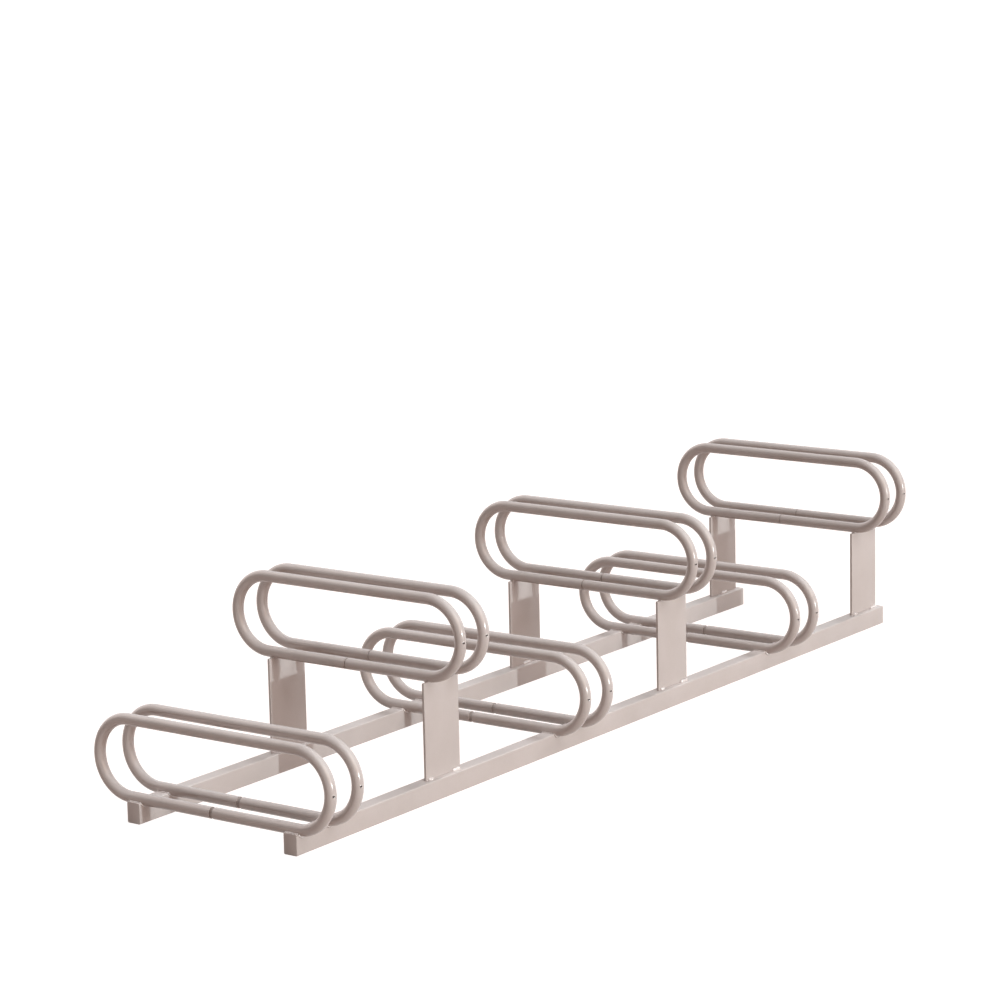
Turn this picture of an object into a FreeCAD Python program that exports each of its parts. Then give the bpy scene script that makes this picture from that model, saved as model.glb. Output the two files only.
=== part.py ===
# Two tier bike rack for six bicycles: wheel holders, low and high in turn, welded on two ground rails.
# Lengths are in millimetres. X runs along the rails, +Y is the side that the bicycles come from, Z is up.
# The origin lies on the ground, under the middle of the whole rack's length and of the loops' length.

import FreeCAD, Part
import math
import os

Vector = FreeCAD.Vector

# Wheel holders
HOLDER_COUNT = 6
HOLDER_PITCH = 396.0
FIRST_LOOP_FROM_END = 5.0
LAST_HOLDER_FROM_END = 66.0

# Bent tube of the loops. Round sections are drawn with flats, and one flat at the bottom is the seat.
TUBE_DIAMETER = 22.0
TUBE_WALL = 1.5
ROUND_FLATS = 16
BEND_STEPS = 10
LOOP_HEIGHT = 170.0
LOW_LOOP_LENGTH = 568.0
HIGH_LOOP_LENGTH = 557.0
LOW_WHEEL_GAP = 55.0
HIGH_WHEEL_GAP = 50.0

# Joint of the tube's two ends, and the vent that zinc and hot air leave by
LOW_JOINT_GAP = 8.0
HIGH_JOINT_GAP = 3.0
PLUG_LENGTH = 60.0
PLUG_CLEARANCE = 0.15
PLUG_END_ROOM = 1.0
VENT_DIAMETER = 5.0
VENT_TURN = 18.0

# Ground rails, a pair of rectangular tubes closed by welded plates
RAIL_WIDTH = 30.0
RAIL_HEIGHT = 40.0
RAIL_WALL = 2.0
RAIL_CORNER = 4.0
RAIL_DISTANCE = 372.0
RAIL_SHIFT = -4.5
END_PLATE_THICKNESS = 2.0

# Round saddles in the rails, which the low loops are let into
SADDLE_DEPTH = 6.5
SADDLE_CLEARANCE = 0.2

# Flat posts under the high loops, on the middle of the rails' tops
POST_WIDTH = 106.0
POST_THICKNESS = 5.0
POST_HEIGHT = 187.0

# Weld beads. Those at the posts' feet are short stitches, placed along the post from its middle.
POST_BEAD_REACH = 6.5
RAIL_BEAD_REACH = 4.0
SEAT_BEAD_RISE = 3.0
SADDLE_BEAD_WIDTH = 3.5
SADDLE_BEAD_THICKNESS = 2.5
FOOT_BEAD_LEG = 5.0
FOOT_BEAD_LENGTH = 24.0
FOOT_BEAD_PLACES = {"front": (-40.0, 38.0), "back": (0.0,)}

# Worked out from the sizes above
TUBE_RADIUS = TUBE_DIAMETER / 2
BEND_RADIUS = (LOOP_HEIGHT - TUBE_DIAMETER) / 2
VENT_DEPTH = TUBE_WALL * 1.5
HOLDERS_SPAN = (HOLDER_COUNT - 1) * HOLDER_PITCH
FIRST_HOLDER_HALF = LOW_WHEEL_GAP / 2 + TUBE_DIAMETER
FIRST_HOLDER_FROM_END = FIRST_LOOP_FROM_END + FIRST_HOLDER_HALF
RACK_LENGTH = FIRST_HOLDER_FROM_END + HOLDERS_SPAN + LAST_HOLDER_FROM_END
RAIL_LENGTH = RACK_LENGTH - 2 * END_PLATE_THICKNESS
LOW_SEAT = RAIL_HEIGHT - SADDLE_DEPTH
HIGH_SEAT = RAIL_HEIGHT + POST_HEIGHT
RAIL_FLAT = RAIL_WIDTH - 2 * RAIL_CORNER
RAIL_PLACES = {
    "front": RAIL_SHIFT - RAIL_DISTANCE / 2,
    "back": RAIL_SHIFT + RAIL_DISTANCE / 2,
}
ALONG_X = Vector(1, 0, 0)
ALONG_Y = Vector(0, 1, 0)


def holder_x(number):
    """Place along the rack of a holder, counted from 1 at the -X end."""
    return FIRST_HOLDER_FROM_END - RACK_LENGTH / 2 + (number - 1) * HOLDER_PITCH


def low_holders():
    return range(1, HOLDER_COUNT + 1, 2)


def high_holders():
    return range(2, HOLDER_COUNT + 1, 2)


def loop_places(number, gap):
    """The two loops of a holder, a on the -X side and b on the +X side, with a wheel's gap between."""
    offset = (gap + TUBE_DIAMETER) / 2
    return {"a": holder_x(number) - offset, "b": holder_x(number) + offset}


def placed(shape, x, y, z):
    """A copy of a shape, moved."""
    copy = shape.copy()
    copy.translate(Vector(x, y, z))
    return copy


def joined(shapes):
    return Part.makeCompound(shapes)


def save(name, shape):
    shape.exportStep("parts/" + name + ".step")


def round_section(radius, y, z):
    """A round section across Y, as a wire. Its flats lie where the round form's own surface does."""
    corner_radius = radius / math.cos(math.pi / ROUND_FLATS)
    corners = []
    for number in range(ROUND_FLATS + 1):
        angle = 2 * math.pi * (number + 0.5) / ROUND_FLATS
        corners.append(Vector(corner_radius * math.cos(angle), y, z + corner_radius * math.sin(angle)))
    return Part.makePolygon(corners)


def round_bar(radius, y, length, z):
    """A round bar along Y, from y onwards, with its centre at the height z."""
    return Part.Face(round_section(radius, y, z)).extrude(ALONG_Y * length)


def half_route(length, joint_gap):
    """Centre line of half a loop, from the joint in the lower run to the upper run, on the +Y side."""
    bend_centre = length / 2 - TUBE_RADIUS - BEND_RADIUS
    low = TUBE_RADIUS
    points = [Vector(0, joint_gap / 2, low)]
    for step in range(BEND_STEPS + 1):
        angle = math.pi * step / BEND_STEPS
        y = bend_centre + BEND_RADIUS * math.sin(angle)
        z = low + BEND_RADIUS * (1 - math.cos(angle))
        points.append(Vector(0, y, z))
    return points


def wheel_loop(length, joint_gap):
    """One bent loop that stands on z = 0, with a bore in both ends for the plug and a vent in the -Y bend.

    The vent is turned by an angle from -Y towards -X.
    """
    there = half_route(length, joint_gap)
    back = [Vector(0, -point.y, point.z) for point in reversed(there)]
    route = Part.makePolygon(there + back)
    section = round_section(TUBE_RADIUS, joint_gap / 2, TUBE_RADIUS)
    loop = route.makePipeShell([section], True, False, 1)
    bore_length = PLUG_LENGTH + 2 * PLUG_END_ROOM
    bore = round_bar(TUBE_RADIUS - TUBE_WALL, -bore_length / 2, bore_length, TUBE_RADIUS)
    vent = round_bar(VENT_DIAMETER / 2, -length / 2 - VENT_DEPTH, 2 * VENT_DEPTH, LOOP_HEIGHT / 2)
    vent.rotate(Vector(0, TUBE_RADIUS - length / 2, 0), Vector(0, 0, 1), -VENT_TURN)
    return loop.cut(bore).cut(vent)


def joint_plug():
    """The plug that holds the two ends of a loop in line."""
    radius = TUBE_RADIUS - TUBE_WALL - PLUG_CLEARANCE
    return round_bar(radius, -PLUG_LENGTH / 2, PLUG_LENGTH, TUBE_RADIUS)


def rounded_bar(length, width, height, radius):
    """A bar along X with rounded long edges, standing on z = 0 and centred on x and y."""
    bar = Part.makeBox(length, width, height, Vector(-length / 2, -width / 2, 0))
    long_edges = [edge for edge in bar.Edges if abs(edge.Length - length) < 0.001]
    return bar.makeFillet(radius, long_edges)


def ground_rail():
    """A rectangular tube, closed at its ends by plates, with a saddle for each low loop."""
    outside = rounded_bar(RAIL_LENGTH, RAIL_WIDTH, RAIL_HEIGHT, RAIL_CORNER)
    inner_width = RAIL_WIDTH - 2 * RAIL_WALL
    inner_height = RAIL_HEIGHT - 2 * RAIL_WALL
    inside = rounded_bar(RAIL_LENGTH, inner_width, inner_height, RAIL_CORNER - RAIL_WALL)
    rail = outside.cut(placed(inside, 0, 0, RAIL_WALL))
    saddle = round_bar(TUBE_RADIUS + SADDLE_CLEARANCE, -RAIL_WIDTH, 2 * RAIL_WIDTH, LOW_SEAT + TUBE_RADIUS)
    for number in low_holders():
        for x in loop_places(number, LOW_WHEEL_GAP).values():
            rail = rail.cut(placed(saddle, x, 0, 0))
    return rail


def end_plate():
    return rounded_bar(END_PLATE_THICKNESS, RAIL_WIDTH, RAIL_HEIGHT, RAIL_CORNER)


def post():
    """A flat post that stands on the middle of a rail's top."""
    corner = Vector(-POST_WIDTH / 2, -POST_THICKNESS / 2, RAIL_HEIGHT)
    return Part.makeBox(POST_WIDTH, POST_THICKNESS, POST_HEIGHT, corner)


def prism_along_x(points, length):
    """A prism from points in Y and Z, centred on x = 0."""
    corners = [Vector(-length / 2, y, z) for y, z in points + points[:1]]
    return Part.Face(Part.makePolygon(corners)).extrude(ALONG_X * length)


def foot_beads(places):
    """The stitches in the corners between a post's foot and the rail's top, on both sides of the post."""
    beads = []
    top = RAIL_HEIGHT + FOOT_BEAD_LEG
    for side in (-1, 1):
        face = side * POST_THICKNESS / 2
        tip = face + side * FOOT_BEAD_LEG
        stitch = prism_along_x([(face, RAIL_HEIGHT), (tip, RAIL_HEIGHT), (face, top)], FOOT_BEAD_LENGTH)
        beads += [placed(stitch, x, 0, 0) for x in places]
    return beads


def seat_beads(length, sunk, reach):
    """The two beads beside a loop's lower run, on the face that it lies on or is sunk in by a depth."""
    tube = round_bar(TUBE_RADIUS, -length / 2, length, TUBE_RADIUS)
    half_chord = math.sqrt(TUBE_RADIUS ** 2 - (TUBE_RADIUS - sunk) ** 2)
    width = half_chord + reach
    beads = []
    for start in (-width, 0):
        corner = Vector(start, -length / 2, sunk)
        beads.append(Part.makeBox(width, length, SEAT_BEAD_RISE, corner).cut(tube))
    return beads


def saddle_bead():
    """The bead round a low loop where it enters a rail's -Y side. The loop stands on z = 0."""
    start = -RAIL_WIDTH / 2 - SADDLE_BEAD_THICKNESS
    outside = round_bar(TUBE_RADIUS + SADDLE_BEAD_WIDTH, start, SADDLE_BEAD_THICKNESS, TUBE_RADIUS)
    ring = outside.cut(round_bar(TUBE_RADIUS, start, SADDLE_BEAD_THICKNESS, TUBE_RADIUS))
    side = 2 * TUBE_RADIUS
    flat_top = SADDLE_DEPTH - RAIL_CORNER
    above = Part.makeBox(2 * side, RAIL_WIDTH, 2 * side, Vector(-side, -RAIL_WIDTH, flat_top))
    return ring.cut(above)


def save_rails():
    for name, y in RAIL_PLACES.items():
        save("ground_rail_" + name, placed(ground_rail(), 0, y, 0))
        end_x = (RACK_LENGTH - END_PLATE_THICKNESS) / 2
        save("end_plate_" + name + "_near", placed(end_plate(), -end_x, y, 0))
        save("end_plate_" + name + "_far", placed(end_plate(), end_x, y, 0))


def save_posts():
    for number in high_holders():
        for name, y in RAIL_PLACES.items():
            save("post_" + str(number) + "_" + name, placed(post(), holder_x(number), y, 0))


def save_loops():
    low_loop = wheel_loop(LOW_LOOP_LENGTH, LOW_JOINT_GAP)
    high_loop = wheel_loop(HIGH_LOOP_LENGTH, HIGH_JOINT_GAP)
    plugs = []
    for number in low_holders():
        for letter, x in loop_places(number, LOW_WHEEL_GAP).items():
            save("low_loop_" + str(number) + letter, placed(low_loop, x, 0, LOW_SEAT))
            plugs.append(placed(joint_plug(), x, 0, LOW_SEAT))
    for number in high_holders():
        for letter, x in loop_places(number, HIGH_WHEEL_GAP).items():
            save("high_loop_" + str(number) + letter, placed(high_loop, x, 0, HIGH_SEAT))
            plugs.append(placed(joint_plug(), x, 0, HIGH_SEAT))
    save("joint_plugs", joined(plugs))


def save_beads():
    foot = []
    on_posts = []
    on_rails = []
    for rail, rail_y in RAIL_PLACES.items():
        for number in high_holders():
            foot += [placed(bead, holder_x(number), rail_y, 0) for bead in foot_beads(FOOT_BEAD_PLACES[rail])]
            for x in loop_places(number, HIGH_WHEEL_GAP).values():
                beads = seat_beads(POST_THICKNESS, 0, POST_BEAD_REACH)
                on_posts += [placed(bead, x, rail_y, HIGH_SEAT) for bead in beads]
        for number in low_holders():
            for x in loop_places(number, LOW_WHEEL_GAP).values():
                beads = seat_beads(RAIL_FLAT, SADDLE_DEPTH, RAIL_BEAD_REACH) + [saddle_bead()]
                on_rails += [placed(bead, x, rail_y, LOW_SEAT) for bead in beads]
    save("post_foot_beads", joined(foot))
    save("high_loop_beads", joined(on_posts))
    save("low_loop_beads", joined(on_rails))


os.makedirs("parts", exist_ok=True)
save_rails()
save_posts()
save_loops()
save_beads()
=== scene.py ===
import bpy
import bmesh
import math
from mathutils import Matrix, Vector


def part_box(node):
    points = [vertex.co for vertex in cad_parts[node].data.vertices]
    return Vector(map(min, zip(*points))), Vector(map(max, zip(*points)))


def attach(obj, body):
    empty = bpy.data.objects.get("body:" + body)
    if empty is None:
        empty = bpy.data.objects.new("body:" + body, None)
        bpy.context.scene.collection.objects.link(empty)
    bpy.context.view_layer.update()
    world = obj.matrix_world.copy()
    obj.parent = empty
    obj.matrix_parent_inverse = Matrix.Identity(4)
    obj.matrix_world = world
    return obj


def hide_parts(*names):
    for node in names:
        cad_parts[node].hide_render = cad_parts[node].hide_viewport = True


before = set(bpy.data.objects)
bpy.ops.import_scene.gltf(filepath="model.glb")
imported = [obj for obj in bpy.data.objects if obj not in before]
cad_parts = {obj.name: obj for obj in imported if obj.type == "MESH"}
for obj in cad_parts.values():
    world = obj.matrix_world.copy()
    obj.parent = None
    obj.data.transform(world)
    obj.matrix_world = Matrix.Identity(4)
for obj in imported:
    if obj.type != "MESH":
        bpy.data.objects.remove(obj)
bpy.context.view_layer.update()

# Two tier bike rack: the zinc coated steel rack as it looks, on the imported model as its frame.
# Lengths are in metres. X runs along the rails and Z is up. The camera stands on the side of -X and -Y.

BODY = "root"
MM = 0.001

# Points nearer than this are taken as one, and an edge runs along X if its ends are farther apart in X
SAME_PLACE = 1e-6

# Camera, fitted to the photograph with the rack's own sizes
CAMERA_PLACE = (-5.3762, -3.8222, 1.7314)
CAMERA_HEADING = 36.1035
CAMERA_TILT = -11.0248
CAMERA_ROLL = -1.2692
CAMERA_LENS = 119.034
CAMERA_REACH = 200
SENSOR_WIDTH = 36.0

# The loops' tube. The spare keeps a bend's two rounded corners apart
TUBE_RADIUS = 11.0 * MM
TUBE_WALL = 1.5 * MM
BEND_SPARE = 1e-5
BEND_STEPS = 40
RING_STEPS = 56

# The vents in the loops' -Y bends, turned from -Y towards -X by some degrees, and the lips of zinc round them
VENT_TURN = 18.0
VENT_RADIUS = 2.4 * MM
VENT_CUT = 5 * TUBE_WALL
VENT_STEPS = 24
LIP_ROUND = 0.7 * MM
LIP_WIDER = 0.2 * MM
LIP_SUNK = 0.35 * MM

# The plugs that show in the loops' joints
PLUG_RADIUS = 9.35 * MM
PLUG_LENGTH = 60 * MM
PLUG_STEPS = 48

# Rounding of the rails' long edges, of their ends and of the posts' edges, and the steps of each
RAIL_CORNER = 2.5 * MM
RAIL_EDGE = 0.5 * MM
POST_EDGE = 0.7 * MM
RAIL_CORNER_STEPS = 8
RAIL_EDGE_STEPS = 2
POST_EDGE_STEPS = 3

# Weld ripples: step along the bead, length of a ripple in steps, how uneven they are, and a ripple's width
# and height at each place
RIPPLE_STEP = 2.2 * MM
RIPPLE_STRETCH = 2.4
RIPPLE_UNEVEN = 0.16
FOOT_RIPPLE = (8.0 * MM, 8.0 * MM)
SEAT_RIPPLE = (4.5 * MM, 3.4 * MM)
SADDLE_RIPPLE = (4.5 * MM, 4.5 * MM)

# Stitches at the posts' feet: first and last place of each along X, from the post's middle, and how far
# they lie off the post's sides and over its foot
FOOT_STITCHES = {
    "front": ((-46 * MM, -36 * MM), (29 * MM, 48 * MM)),
    "back": ((-10 * MM, 10 * MM),),
}
FOOT_ASIDE = 0.8 * MM
FOOT_RISE = 1.0 * MM

# Beads beside the loops' lower runs, on the rails and on the posts: how far they lie over the seat and off
# the tube's middle
RAIL_SEAT_RISE = 0.3 * MM
RAIL_SEAT_ASIDE = 11.2 * MM
POST_SEAT_RISE = 0.9 * MM
POST_SEAT_ASIDE = 5.2 * MM

# Beads round the low loops on the rails' -Y sides: how far they lie off the tube and off the rail, and the
# steps of each
SADDLE_CLEAR = 1.0 * MM
SADDLE_OUT = 0.3 * MM
SADDLE_STEPS = 12

# Colours, as linear values: the zinc coat, a lighter zinc for the welds and vent lips that paints their
# highlights, a dark colour that paints the shade in the loops' joints, and the floor
ZINC = (0.640, 0.575, 0.560)
ZINC_DEEP = (0.590, 0.525, 0.505)
# Painted highlight: a zinc lighter than the coat, for the welds and the vents' lips, that stands in for the
# glint of their rounded surfaces
ZINC_PAINTED_GLINT = (0.860, 0.820, 0.810)
# Painted shade: the plugs in the joints' recesses are coloured darker than the coat to stand in for the shade
# there
JOINT_PAINTED_SHADE = (0.26, 0.21, 0.19)
FLOOR = (0.24, 0.16, 0.13)

# The coat's index of refraction and the depth of its bump
COAT_INDEX = 1.5
BUMP_DEPTH = 0.6 * MM

# The floor: how strongly it glows where it is seen, and how far it reaches
FLOOR_LIFT = 0.95
FLOOR_REACH = 30

# Studio light: the room's colour and strength, then each lamp's heading from +X towards +Y and its height
# over the ground in degrees, its strength, its width in degrees and its colour
ROOM = (1.0, 0.72, 0.60, 1)
ROOM_STRENGTH = 0.03
SIDE_KEY = (-90.3, 7.0, 1.12, 1.0, (0.86, 0.98, 1.0))
SIDE_SOFT = (258.0, 25.0, 1.2, 60.0, (1.0, 0.80, 0.67))
SIDE_SKY = (276.0, 55.0, 1.0, 60.0, (0.84, 0.95, 1.0))
TOP_SOFT = (0.0, 70.0, 1.5, 12.0, (0.92, 0.97, 1.0))
BACK_SOFT = (90.0, 25.0, 0.75, 60.0, (1.0, 0.82, 0.74))


def node_boxes(start):
    """Lowest and highest corners of the nodes whose names begin with a word, by name, without weld beads."""
    names = sorted(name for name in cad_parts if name.startswith(start) and not name.endswith("_beads"))
    return {name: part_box(name) for name in names}


LOW_LOOPS = node_boxes("low_loop_")
HIGH_LOOPS = node_boxes("high_loop_")
LOOPS = {**LOW_LOOPS, **HIGH_LOOPS}
POSTS = node_boxes("post_")
RAILS = node_boxes("ground_rail_")
END_PLATES = node_boxes("end_plate_")


# Node trees

def add_node(tree, kind, values=None, **settings):
    """A node in a tree, with its settings and the values of its input sockets."""
    node = tree.nodes.new(kind)
    for name, value in settings.items():
        setattr(node, name, value)
    for name, value in (values or {}).items():
        node.inputs[name].default_value = value
    return node


def new_group(name, kind, inputs, outputs):
    """A node group with named sockets, and its two end nodes."""
    tree = bpy.data.node_groups.new(name, kind)
    for label, socket, value in inputs:
        made = tree.interface.new_socket(label, in_out="INPUT", socket_type=socket)
        if value is not None:
            made.default_value = value
    for label, socket in outputs:
        tree.interface.new_socket(label, in_out="OUTPUT", socket_type=socket)
    return tree, tree.nodes.new("NodeGroupInput"), tree.nodes.new("NodeGroupOutput")


def socket_key(tree, label):
    """The identifier of a group's input socket."""
    for item in tree.interface.items_tree:
        if item.name == label and item.in_out == "INPUT":
            return item.identifier


def tube_tree():
    """Geometry Nodes: a round tube bent along a route of straight lines with rounded corners."""
    tree, start, end = new_group("Bent tube", "GeometryNodeTree", [
        ("Route", "NodeSocketGeometry", None),
        ("Bend Radius", "NodeSocketFloat", 0.07),
        ("Tube Radius", "NodeSocketFloat", 0.01),
        ("Bend Steps", "NodeSocketInt", 24),
        ("Ring Steps", "NodeSocketInt", 32),
        ("Finish", "NodeSocketMaterial", None),
    ], [("Tube", "NodeSocketGeometry")])
    links = tree.links
    curve = add_node(tree, "GeometryNodeMeshToCurve")
    bend = add_node(tree, "GeometryNodeFilletCurve", mode="POLY")
    ring = add_node(tree, "GeometryNodeCurvePrimitiveCircle", mode="RADIUS")
    sweep = add_node(tree, "GeometryNodeCurveToMesh")
    smooth = add_node(tree, "GeometryNodeSetShadeSmooth")
    real = add_node(tree, "GeometryNodeRealizeInstances")
    finish = add_node(tree, "GeometryNodeSetMaterial")
    links.new(start.outputs["Route"], curve.inputs["Mesh"])
    links.new(curve.outputs["Curve"], bend.inputs["Curve"])
    links.new(start.outputs["Bend Radius"], bend.inputs["Radius"])
    links.new(start.outputs["Bend Steps"], bend.inputs["Count"])
    links.new(start.outputs["Tube Radius"], ring.inputs["Radius"])
    links.new(start.outputs["Ring Steps"], ring.inputs["Resolution"])
    links.new(bend.outputs["Curve"], sweep.inputs["Curve"])
    links.new(ring.outputs["Curve"], sweep.inputs["Profile Curve"])
    links.new(sweep.outputs["Mesh"], smooth.inputs["Geometry"])
    links.new(smooth.outputs["Geometry"], real.inputs["Geometry"])
    links.new(real.outputs["Geometry"], finish.inputs["Geometry"])
    links.new(start.outputs["Finish"], finish.inputs["Material"])
    links.new(finish.outputs["Geometry"], end.inputs["Tube"])
    return tree


def bead_tree():
    """Geometry Nodes: a weld bead, as overlapping flattened ripples along lines."""
    tree, start, end = new_group("Weld bead", "GeometryNodeTree", [
        ("Lines", "NodeSocketGeometry", None),
        ("Step", "NodeSocketFloat", 0.002),
        ("Width", "NodeSocketFloat", 0.005),
        ("Height", "NodeSocketFloat", 0.003),
        ("Unevenness", "NodeSocketFloat", 0.15),
        ("Seed", "NodeSocketInt", 3),
        ("Finish", "NodeSocketMaterial", None),
    ], [("Bead", "NodeSocketGeometry")])
    links = tree.links
    curve = add_node(tree, "GeometryNodeMeshToCurve")
    points = add_node(tree, "GeometryNodeCurveToPoints", mode="LENGTH")
    drop = add_node(tree, "GeometryNodeMeshUVSphere", {"Segments": 12, "Rings": 8, "Radius": 0.5})
    place = add_node(tree, "GeometryNodeInstanceOnPoints")
    size = add_node(tree, "ShaderNodeCombineXYZ")
    long_way = add_node(tree, "ShaderNodeMath", {1: RIPPLE_STRETCH}, operation="MULTIPLY")
    least = add_node(tree, "ShaderNodeMath", {0: 1.0}, operation="SUBTRACT")
    most = add_node(tree, "ShaderNodeMath", {0: 1.0}, operation="ADD")
    uneven = add_node(tree, "FunctionNodeRandomValue", data_type="FLOAT")
    spread = add_node(tree, "ShaderNodeVectorMath", operation="SCALE")
    real = add_node(tree, "GeometryNodeRealizeInstances")
    smooth = add_node(tree, "GeometryNodeSetShadeSmooth")
    finish = add_node(tree, "GeometryNodeSetMaterial")
    links.new(start.outputs["Lines"], curve.inputs["Mesh"])
    links.new(curve.outputs["Curve"], points.inputs["Curve"])
    links.new(start.outputs["Step"], points.inputs["Length"])
    links.new(points.outputs["Points"], place.inputs["Points"])
    links.new(points.outputs["Rotation"], place.inputs["Rotation"])
    links.new(drop.outputs["Mesh"], smooth.inputs["Geometry"])
    links.new(smooth.outputs["Geometry"], place.inputs["Instance"])
    links.new(start.outputs["Step"], long_way.inputs[0])
    links.new(start.outputs["Width"], size.inputs["X"])
    links.new(start.outputs["Height"], size.inputs["Y"])
    links.new(long_way.outputs[0], size.inputs["Z"])
    links.new(start.outputs["Unevenness"], least.inputs[1])
    links.new(start.outputs["Unevenness"], most.inputs[1])
    links.new(least.outputs[0], uneven.inputs[2])
    links.new(most.outputs[0], uneven.inputs[3])
    links.new(start.outputs["Seed"], uneven.inputs["Seed"])
    links.new(size.outputs["Vector"], spread.inputs[0])
    links.new(uneven.outputs[1], spread.inputs["Scale"])
    links.new(spread.outputs["Vector"], place.inputs["Scale"])
    links.new(place.outputs["Instances"], real.inputs["Geometry"])
    links.new(real.outputs["Geometry"], finish.inputs["Geometry"])
    links.new(start.outputs["Finish"], finish.inputs["Material"])
    links.new(finish.outputs["Geometry"], end.inputs["Bead"])
    return tree


# Shader groups

def mottling_group():
    """Shader group: the slow cloudiness of a zinc coat, as a colour and a roughness."""
    tree, start, end = new_group("Coat mottling", "ShaderNodeTree", [
        ("Light Colour", "NodeSocketColor", (1, 1, 1, 1)),
        ("Deep Colour", "NodeSocketColor", (1, 1, 1, 1)),
        ("Cloud Scale", "NodeSocketFloat", 14.0),
        ("Least Roughness", "NodeSocketFloat", 0.3),
        ("Most Roughness", "NodeSocketFloat", 0.45),
    ], [("Colour", "NodeSocketColor"), ("Roughness", "NodeSocketFloat")])
    links = tree.links
    place = add_node(tree, "ShaderNodeTexCoord")
    cloud = add_node(tree, "ShaderNodeTexNoise", {"Detail": 4.0, "Roughness": 0.55})
    fine = add_node(tree, "ShaderNodeTexNoise", {"Scale": 420.0, "Detail": 2.0})
    both = add_node(tree, "ShaderNodeMath", {1: 0.35}, operation="MULTIPLY_ADD")
    spread = add_node(tree, "ShaderNodeMapRange", {"From Min": 0.45, "From Max": 0.85})
    colour = add_node(tree, "ShaderNodeMix", data_type="RGBA")
    rough = add_node(tree, "ShaderNodeMapRange")
    links.new(place.outputs["Object"], cloud.inputs["Vector"])
    links.new(place.outputs["Object"], fine.inputs["Vector"])
    links.new(start.outputs["Cloud Scale"], cloud.inputs["Scale"])
    links.new(fine.outputs["Fac"], both.inputs[0])
    links.new(cloud.outputs["Fac"], both.inputs[2])
    links.new(both.outputs[0], spread.inputs["Value"])
    links.new(spread.outputs["Result"], colour.inputs["Factor"])
    links.new(start.outputs["Light Colour"], colour.inputs[6])
    links.new(start.outputs["Deep Colour"], colour.inputs[7])
    links.new(cloud.outputs["Fac"], rough.inputs["Value"])
    links.new(start.outputs["Least Roughness"], rough.inputs["To Min"])
    links.new(start.outputs["Most Roughness"], rough.inputs["To Max"])
    links.new(colour.outputs[2], end.inputs["Colour"])
    links.new(rough.outputs["Result"], end.inputs["Roughness"])
    return tree


def skin_group():
    """Shader group: the height of the coat's fine orange peel and of the steel's slow waves under it."""
    tree, start, end = new_group("Coat skin", "ShaderNodeTree", [
        ("Peel Scale", "NodeSocketFloat", 700.0),
        ("Peel", "NodeSocketFloat", 0.5),
        ("Wave Scale", "NodeSocketFloat", 30.0),
        ("Wave", "NodeSocketFloat", 0.5),
    ], [("Height", "NodeSocketFloat")])
    links = tree.links
    place = add_node(tree, "ShaderNodeTexCoord")
    peel = add_node(tree, "ShaderNodeTexNoise", {"Detail": 1.5, "Roughness": 0.4})
    wave = add_node(tree, "ShaderNodeTexNoise", {"Detail": 1.0, "Roughness": 0.3})
    small = add_node(tree, "ShaderNodeMath", operation="MULTIPLY")
    sum_up = add_node(tree, "ShaderNodeMath", operation="MULTIPLY_ADD")
    links.new(place.outputs["Object"], peel.inputs["Vector"])
    links.new(place.outputs["Object"], wave.inputs["Vector"])
    links.new(start.outputs["Peel Scale"], peel.inputs["Scale"])
    links.new(start.outputs["Wave Scale"], wave.inputs["Scale"])
    links.new(peel.outputs["Fac"], small.inputs[0])
    links.new(start.outputs["Peel"], small.inputs[1])
    links.new(wave.outputs["Fac"], sum_up.inputs[0])
    links.new(start.outputs["Wave"], sum_up.inputs[1])
    links.new(small.outputs[0], sum_up.inputs[2])
    links.new(sum_up.outputs[0], end.inputs["Height"])
    return tree


MOTTLING = mottling_group()
SKIN = skin_group()


def coat_material(name, light, deep, metallic, cloud_scale, roughness, peel, wave, bump):
    """Dull zinc on steel: mottled colour and roughness, with a bump of peel and waves."""
    material = bpy.data.materials.new(name)
    material.use_nodes = True
    tree = material.node_tree
    shader = tree.nodes["Principled BSDF"]
    colour = add_node(tree, "ShaderNodeGroup", node_tree=MOTTLING)
    colour.inputs["Light Colour"].default_value = (*light, 1)
    colour.inputs["Deep Colour"].default_value = (*deep, 1)
    colour.inputs["Cloud Scale"].default_value = cloud_scale
    colour.inputs["Least Roughness"].default_value = roughness[0]
    colour.inputs["Most Roughness"].default_value = roughness[1]
    skin = add_node(tree, "ShaderNodeGroup", node_tree=SKIN)
    skin.inputs["Peel"].default_value = peel
    skin.inputs["Wave"].default_value = wave
    raised = add_node(tree, "ShaderNodeBump", {"Strength": bump, "Distance": BUMP_DEPTH})
    tree.links.new(colour.outputs["Colour"], shader.inputs["Base Color"])
    tree.links.new(colour.outputs["Roughness"], shader.inputs["Roughness"])
    tree.links.new(skin.outputs["Height"], raised.inputs["Height"])
    tree.links.new(raised.outputs["Normal"], shader.inputs["Normal"])
    shader.inputs["Metallic"].default_value = metallic
    shader.inputs["IOR"].default_value = COAT_INDEX
    material.diffuse_color = (*light, 1)
    return material


TUBE_ZINC = coat_material("tube_zinc", ZINC, ZINC_DEEP, metallic=0.05, cloud_scale=16.0,
                          roughness=(0.16, 0.24), peel=0.35, wave=0.6, bump=0.15)
PLATE_ZINC = coat_material("plate_zinc", ZINC, ZINC_DEEP, metallic=0.05, cloud_scale=9.0,
                           roughness=(0.36, 0.46), peel=0.5, wave=0.5, bump=0.25)
# The welds and vent lips: lighter than the coat and mottled light and grey, which paints the highlights of
# their rounded beads
WELD_GLINT_ZINC = coat_material("weld_zinc", ZINC_PAINTED_GLINT, ZINC_DEEP, metallic=0.15, cloud_scale=60.0,
                          roughness=(0.14, 0.26), peel=0.4, wave=0.8, bump=0.35)
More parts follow.
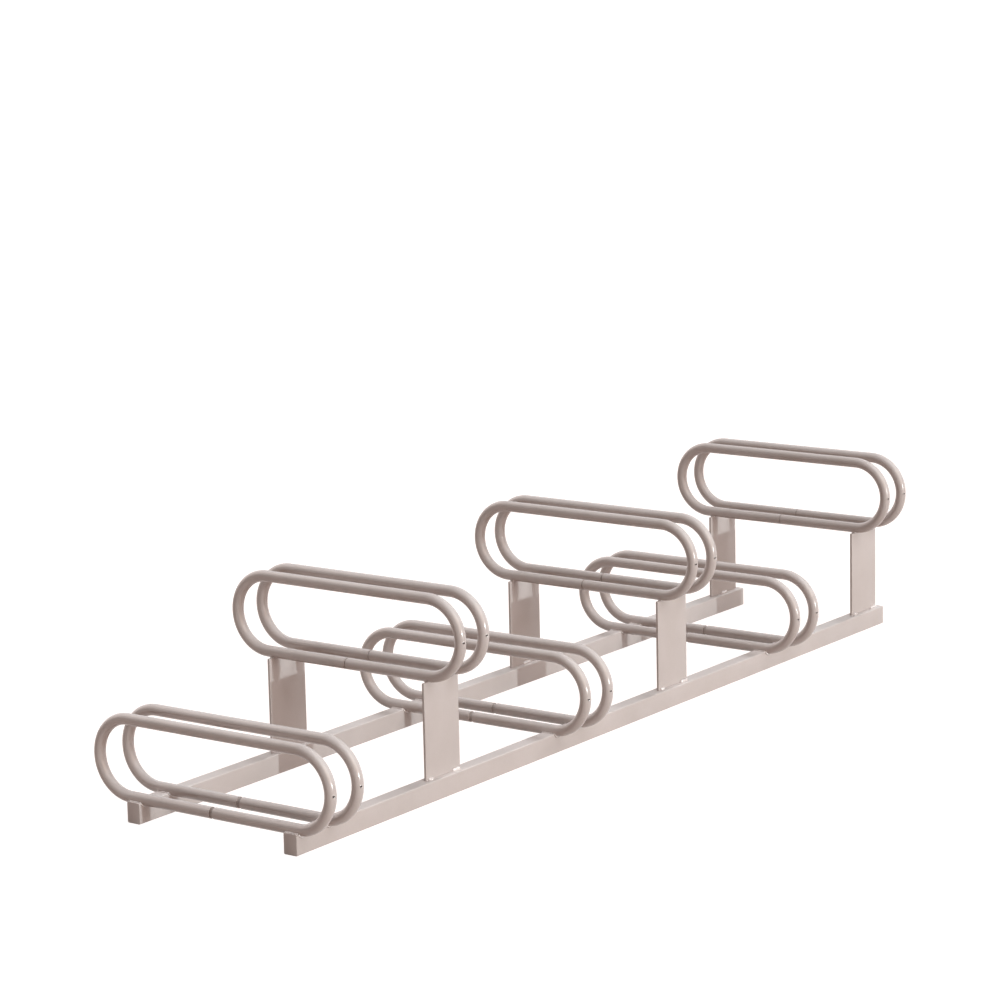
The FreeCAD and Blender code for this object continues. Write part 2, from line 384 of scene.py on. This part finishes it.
# The joints' plugs: a material darker than the coat, painting the shade in the recesses
JOINT_SHADE_ZINC = coat_material("joint_zinc", ZINC_DEEP, JOINT_PAINTED_SHADE, metallic=0.05, cloud_scale=90.0,
                           roughness=(0.4, 0.6), peel=0.6, wave=0.4, bump=0.3)


# Pieces

def mesh_object(name, mesh, material=None):
    """An object at the origin with a mesh, linked to the scene."""
    piece = bpy.data.objects.new(name, mesh)
    bpy.context.scene.collection.objects.link(piece)
    if material:
        mesh.materials.append(material)
    return piece


def plain_mesh(piece):
    """Gives a piece the mesh that its modifiers make, and takes the modifiers off."""
    bpy.context.view_layer.update()
    graph = bpy.context.evaluated_depsgraph_get()
    made = bpy.data.meshes.new_from_object(piece.evaluated_get(graph))
    piece.modifiers.clear()
    piece.data = made
    return piece


def add_tree(piece, tree, values):
    """A Geometry Nodes modifier with its inputs set by their identifiers."""
    modifier = piece.modifiers.new(tree.name, "NODES")
    modifier.node_group = tree
    for label, value in values.items():
        modifier[socket_key(tree, label)] = value
    return modifier


def outward(mesh):
    """Merges doubles and turns the faces outwards."""
    work = bmesh.new()
    work.from_mesh(mesh)
    bmesh.ops.remove_doubles(work, verts=work.verts, dist=SAME_PLACE)
    bmesh.ops.recalc_face_normals(work, faces=work.faces)
    work.to_mesh(mesh)
    work.free()
    return mesh


def smooth_with_edges(mesh, degrees=35):
    """Smooth shading with sharp edges where faces meet at a wide angle."""
    mesh.polygons.foreach_set("use_smooth", [True] * len(mesh.polygons))
    mesh.set_sharp_from_angle(angle=math.radians(degrees))
    return mesh


def finished(piece, *nodes):
    """Puts a piece on the rack's body, in the place of the frame's nodes."""
    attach(piece, BODY)
    if nodes:
        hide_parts(*nodes)
    return piece


def line_mesh(name, lines):
    """A mesh of separate lines, each given by its points."""
    mesh = bpy.data.meshes.new(name)
    points = []
    edges = []
    for line in lines:
        first = len(points)
        points += [tuple(point) for point in line]
        edges += [(first + number, first + number + 1) for number in range(len(line) - 1)]
    mesh.from_pydata(points, edges, [])
    return mesh


def joint_gap(name):
    """The gap between the tube's ends, measured on the loop's node in the frame."""
    near = [abs(vertex.co.y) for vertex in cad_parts[name].data.vertices]
    return 2 * min(near)


def round_bar(name, radius, length, steps, place):
    """A closed round bar along Z, moved and turned by a matrix."""
    mesh = bpy.data.meshes.new(name)
    work = bmesh.new()
    bmesh.ops.create_cone(work, cap_ends=True, segments=steps, radius1=radius, radius2=radius, depth=length)
    bmesh.ops.transform(work, matrix=place, verts=work.verts)
    work.to_mesh(mesh)
    work.free()
    return mesh


def vent_place(low, high, reach):
    """A loop's vent: its direction, from -Y towards -X, and a point at a reach from the tube's middle."""
    turn = math.radians(VENT_TURN)
    out = Vector((-math.sin(turn), -math.cos(turn), 0))
    centre = Vector(((low.x + high.x) / 2, low.y + TUBE_RADIUS, (low.z + high.z) / 2))
    return out, centre + out * reach


def vent_cutter(low, high):
    """A closed round cutter through a loop's wall, where its vent is."""
    out, centre = vent_place(low, high, TUBE_RADIUS)
    turn = Vector((0, 0, 1)).rotation_difference(out).to_matrix().to_4x4()
    place = Matrix.Translation(centre) @ turn
    return mesh_object("vent", round_bar("vent", VENT_RADIUS, VENT_CUT, VENT_STEPS, place))


def wheel_loop(name, low, high, tree):
    """A bent tube loop: a swept tube with an open joint below and a vent in the -Y bend."""
    x = (low.x + high.x) / 2
    half = (high.y - low.y) / 2 - TUBE_RADIUS
    middle = (high.y + low.y) / 2
    bottom = low.z + TUBE_RADIUS
    top = high.z - TUBE_RADIUS
    gap = joint_gap(name) / 2
    route = [(x, gap, bottom), (x, middle + half, bottom), (x, middle + half, top),
             (x, middle - half, top), (x, middle - half, bottom), (x, -gap, bottom)]
    piece = mesh_object(name + "_tube", line_mesh(name + "_tube", [route]))
    add_tree(piece, tree, {
        "Bend Radius": (top - bottom) / 2 - BEND_SPARE,
        "Tube Radius": TUBE_RADIUS,
        "Bend Steps": BEND_STEPS,
        "Ring Steps": RING_STEPS,
        "Finish": TUBE_ZINC,
    })
    plain_mesh(piece)
    outward(piece.data)
    wall = piece.modifiers.new("wall", "SOLIDIFY")
    wall.thickness = TUBE_WALL
    wall.offset = -1
    plain_mesh(piece)
    vent = vent_cutter(low, high)
    hole = piece.modifiers.new("vent", "BOOLEAN")
    hole.operation = "DIFFERENCE"
    hole.object = vent
    plain_mesh(piece)
    bpy.data.objects.remove(vent)
    smooth_with_edges(piece.data)
    return finished(piece, name)


def ring_mesh(name, centre, axis, ring_radius, round_radius, ring_steps=28, round_steps=10):
    """A closed ring round a level axis."""
    across = Vector((axis.y, -axis.x, 0))
    mesh = bpy.data.meshes.new(name)
    points = []
    faces = []
    for step in range(ring_steps):
        around = 2 * math.pi * step / ring_steps
        for part in range(round_steps):
            turn = 2 * math.pi * part / round_steps
            reach = ring_radius + round_radius * math.cos(turn)
            points.append(centre + across * reach * math.cos(around) + axis * round_radius * math.sin(turn)
                          + Vector((0, 0, reach * math.sin(around))))
    for step in range(ring_steps):
        for part in range(round_steps):
            following = (step + 1) % ring_steps
            beside = (part + 1) % round_steps
            faces.append((step * round_steps + part, following * round_steps + part,
                          following * round_steps + beside, step * round_steps + beside))
    mesh.from_pydata(points, [], faces)
    return outward(mesh)


def joined_piece(name, pieces, material):
    """One object from several meshes, which it takes over."""
    work = bmesh.new()
    for mesh in pieces:
        work.from_mesh(mesh)
        bpy.data.meshes.remove(mesh)
    whole = bpy.data.meshes.new(name)
    work.to_mesh(whole)
    work.free()
    return mesh_object(name, whole, material)


def vent_lips():
    """The thin lips of zinc round the vents, sunk a little into the tube, in the welds' lighter zinc that
    paints a highlight round each vent.
    """
    lips = []
    for low, high in LOOPS.values():
        out, centre = vent_place(low, high, TUBE_RADIUS - LIP_SUNK)
        lips.append(ring_mesh("lip", centre, out, VENT_RADIUS + LIP_WIDER, LIP_ROUND))
    piece = joined_piece("vent_lips", lips, WELD_GLINT_ZINC)
    smooth_with_edges(piece.data, 80)
    return finished(piece)


def joint_plugs():
    """The plugs that show in the loops' joints, as one piece, in a darker material that paints the shade in
    the joints.
    """
    plugs = []
    for low, high in LOOPS.values():
        place = Matrix.Translation(((low.x + high.x) / 2, 0, low.z + TUBE_RADIUS))
        level = place @ Matrix.Rotation(math.pi / 2, 4, "X")
        plugs.append(round_bar("plug", PLUG_RADIUS, PLUG_LENGTH, PLUG_STEPS, level))
    piece = joined_piece("joint_plugs_turned", plugs, JOINT_SHADE_ZINC)
    smooth_with_edges(piece.data)
    return finished(piece, "joint_plugs")


def is_along_x(edge):
    """Whether an edge of a box runs along X."""
    return abs(edge.verts[0].co.x - edge.verts[1].co.x) > SAME_PLACE


def bounds_an_end(edge):
    """Whether an edge of a box bounds a face that looks along X."""
    return not is_along_x(edge) and any(abs(face.normal.x) > 0.9 for face in edge.link_faces)


def round_edges(work, edges, width, steps):
    """Rounds some edges of a bmesh."""
    bmesh.ops.bevel(work, geom=edges, offset=width, segments=steps, profile=0.5, affect="EDGES")


def edged_box(name, low, high, width, steps, material, long_width=None):
    """A box with rounded edges. long_width rounds the edges along X by another width."""
    work = bmesh.new()
    bmesh.ops.create_cube(work, size=1)
    size = high - low
    place = Matrix.Translation((low + high) / 2) @ Matrix.Diagonal((*size, 1))
    bmesh.ops.transform(work, matrix=place, verts=work.verts)
    if long_width:
        round_edges(work, [edge for edge in work.edges if is_along_x(edge)], long_width, RAIL_CORNER_STEPS)
        round_edges(work, [edge for edge in work.edges if bounds_an_end(edge)], width, steps)
    else:
        round_edges(work, work.edges[:], width, steps)
    bmesh.ops.recalc_face_normals(work, faces=work.faces)
    mesh = bpy.data.meshes.new(name)
    work.to_mesh(mesh)
    work.free()
    smooth_with_edges(mesh, 50)
    return mesh_object(name, mesh, material)


def rails_and_plates():
    """The ground rails and the plates that close their ends."""
    for boxes, ending in ((RAILS, "_tube"), (END_PLATES, "_cap")):
        for name, (low, high) in boxes.items():
            piece = edged_box(name + ending, low, high, RAIL_EDGE, RAIL_EDGE_STEPS, PLATE_ZINC, RAIL_CORNER)
            finished(piece, name)


def posts():
    """The flat posts under the high loops."""
    for name, (low, high) in POSTS.items():
        finished(edged_box(name + "_plate", low, high, POST_EDGE, POST_EDGE_STEPS, PLATE_ZINC), name)


def bead_piece(name, lines, tree, ripple, seed, *nodes):
    """Weld beads along lines as one mesh, in the welds' lighter zinc that paints their highlights."""
    piece = mesh_object(name, line_mesh(name, lines))
    add_tree(piece, tree, {
        "Step": RIPPLE_STEP,
        "Width": ripple[0],
        "Height": ripple[1],
        "Unevenness": RIPPLE_UNEVEN,
        "Seed": seed,
        "Finish": WELD_GLINT_ZINC,
    })
    plain_mesh(piece)
    return finished(piece, *nodes)


def foot_lines():
    """Where the stitches lie in the corners between the posts' feet and the rails' tops, on both sides."""
    lines = []
    for name, (low, high) in POSTS.items():
        x = (low.x + high.x) / 2
        z = low.z + FOOT_RISE
        for first, last in FOOT_STITCHES[name.split("_")[2]]:
            for y in (low.y - FOOT_ASIDE, high.y + FOOT_ASIDE):
                lines.append([(x + first, y, z), (x + last, y, z)])
    return lines


def seat_lines(boxes, seats, top, aside):
    """Where the beads lie beside some loops' lower runs. A seat is the first and last Y of a bead."""
    lines = []
    for low, high in boxes.values():
        x = (low.x + high.x) / 2
        for first, last in seats:
            for place in (x - aside, x + aside):
                lines.append([(place, first, top), (place, last, top)])
    return lines


def saddle_lines():
    """Where the beads lie round the low loops, under them on the rails' -Y sides."""
    lines = []
    reach = TUBE_RADIUS + SADDLE_CLEAR
    for low, high in LOW_LOOPS.values():
        x = (low.x + high.x) / 2
        z = low.z + TUBE_RADIUS
        for rail_low, rail_high in RAILS.values():
            y = rail_low.y - SADDLE_OUT
            start = math.asin((rail_high.z - RAIL_CORNER - z) / reach)
            angles = [start - (math.pi + 2 * start) * step / SADDLE_STEPS for step in range(SADDLE_STEPS + 1)]
            lines.append([(x + reach * math.cos(angle), y, z + reach * math.sin(angle)) for angle in angles])
    return lines


def weld_beads():
    """All weld beads: at the posts' feet, and where the loops lie on the rails and on the posts."""
    tree = bead_tree()
    rail_seats = [(low.y + RAIL_CORNER, high.y - RAIL_CORNER) for low, high in RAILS.values()]
    post_seats = sorted({(round(low.y, 5), round(high.y, 5)) for low, high in POSTS.values()})
    rail_top = max(high.z for low, high in RAILS.values())
    post_top = max(high.z for low, high in POSTS.values())
    on_rails = seat_lines(LOW_LOOPS, rail_seats, rail_top + RAIL_SEAT_RISE, RAIL_SEAT_ASIDE)
    on_posts = seat_lines(HIGH_LOOPS, post_seats, post_top + POST_SEAT_RISE, POST_SEAT_ASIDE)
    bead_piece("post_foot_welds", foot_lines(), tree, FOOT_RIPPLE, 5, "post_foot_beads")
    bead_piece("low_loop_welds", on_rails, tree, SEAT_RIPPLE, 11, "low_loop_beads")
    bead_piece("saddle_welds", saddle_lines(), tree, SADDLE_RIPPLE, 23)
    bead_piece("high_loop_welds", on_posts, tree, SEAT_RIPPLE, 17, "high_loop_beads")


# Studio

def background_rays(tree):
    """A value that is 1 for the camera's, mirrored and transmitted rays, and 0 for the rest."""
    path = add_node(tree, "ShaderNodeLightPath")
    direct = add_node(tree, "ShaderNodeMath", operation="MAXIMUM")
    any_kind = add_node(tree, "ShaderNodeMath", operation="MAXIMUM")
    tree.links.new(path.outputs["Is Camera Ray"], direct.inputs[0])
    tree.links.new(path.outputs["Is Glossy Ray"], direct.inputs[1])
    tree.links.new(direct.outputs[0], any_kind.inputs[0])
    tree.links.new(path.outputs["Is Transmission Ray"], any_kind.inputs[1])
    return any_kind.outputs[0]


def floor_and_world():
    """A white floor and surroundings that light the rack much less than they show."""
    mesh = bpy.data.meshes.new("floor")
    corners = [(x * FLOOR_REACH, y * FLOOR_REACH, 0) for x, y in ((-1, -1), (1, -1), (1, 1), (-1, 1))]
    mesh.from_pydata(corners, [], [(0, 1, 2, 3)])
    material = bpy.data.materials.new("floor_white")
    material.use_nodes = True
    tree = material.node_tree
    shader = tree.nodes["Principled BSDF"]
    shader.inputs["Base Color"].default_value = (*FLOOR, 1)
    shader.inputs["Roughness"].default_value = 0.9
    shader.inputs["Emission Color"].default_value = (1, 1, 1, 1)
    lift = add_node(tree, "ShaderNodeMath", {1: FLOOR_LIFT}, operation="MULTIPLY")
    tree.links.new(background_rays(tree), lift.inputs[0])
    tree.links.new(lift.outputs[0], shader.inputs["Emission Strength"])
    floor = mesh_object("floor", mesh, material)

    world = bpy.data.worlds.new("studio")
    bpy.context.scene.world = world
    world.use_nodes = True
    tree = world.node_tree
    tree.nodes.clear()
    out = add_node(tree, "ShaderNodeOutputWorld")
    room = add_node(tree, "ShaderNodeBackground", {"Color": ROOM, "Strength": ROOM_STRENGTH})
    white = add_node(tree, "ShaderNodeBackground", {"Color": (1, 1, 1, 1), "Strength": 1.0})
    mix = add_node(tree, "ShaderNodeMixShader")
    tree.links.new(background_rays(tree), mix.inputs["Fac"])
    tree.links.new(room.outputs["Background"], mix.inputs[1])
    tree.links.new(white.outputs["Background"], mix.inputs[2])
    tree.links.new(mix.outputs["Shader"], out.inputs["Surface"])


def sun_light(name, heading, height, strength, width, colour, mirrored=True):
    """A sun that shines from a heading and a height over the ground. Glossy rays see it only if mirrored."""
    lamp = bpy.data.lights.new(name, "SUN")
    lamp.energy = strength
    lamp.angle = math.radians(width)
    lamp.color = colour
    piece = bpy.data.objects.new(name, lamp)
    turn = math.radians(heading)
    rise = math.radians(height)
    towards = Vector((math.cos(turn) * math.cos(rise), math.sin(turn) * math.cos(rise), math.sin(rise)))
    piece.rotation_mode = "QUATERNION"
    piece.rotation_quaternion = towards.to_track_quat("Z", "Y")
    piece.visible_glossy = mirrored
    bpy.context.scene.collection.objects.link(piece)


def lights():
    """The studio's lamps."""
    sun_light("side_key", *SIDE_KEY)
    sun_light("side_soft", *SIDE_SOFT)
    sun_light("side_sky", *SIDE_SKY)
    sun_light("top_soft", *TOP_SOFT, mirrored=False)
    sun_light("back_soft", *BACK_SOFT)


def camera():
    """The photograph's camera."""
    data = bpy.data.cameras.new("camera")
    data.lens = CAMERA_LENS
    data.sensor_width = SENSOR_WIDTH
    data.clip_end = CAMERA_REACH
    piece = bpy.data.objects.new("camera", data)
    turn = Matrix.Rotation(math.radians(CAMERA_HEADING - 90), 4, "Z")
    tilt = Matrix.Rotation(math.radians(90 + CAMERA_TILT), 4, "X")
    roll = Matrix.Rotation(math.radians(CAMERA_ROLL), 4, "Z")
    piece.matrix_world = Matrix.Translation(CAMERA_PLACE) @ turn @ tilt @ roll
    bpy.context.scene.collection.objects.link(piece)
    bpy.context.scene.camera = piece


def loops():
    """The twelve wheel loops."""
    tree = tube_tree()
    for name, (low, high) in LOOPS.items():
        wheel_loop(name, low, high, tree)


loops()
joint_plugs()
vent_lips()
rails_and_plates()
posts()
weld_beads()
floor_and_world()
lights()
camera()

bpy.context.scene.view_settings.view_transform = "Standard"
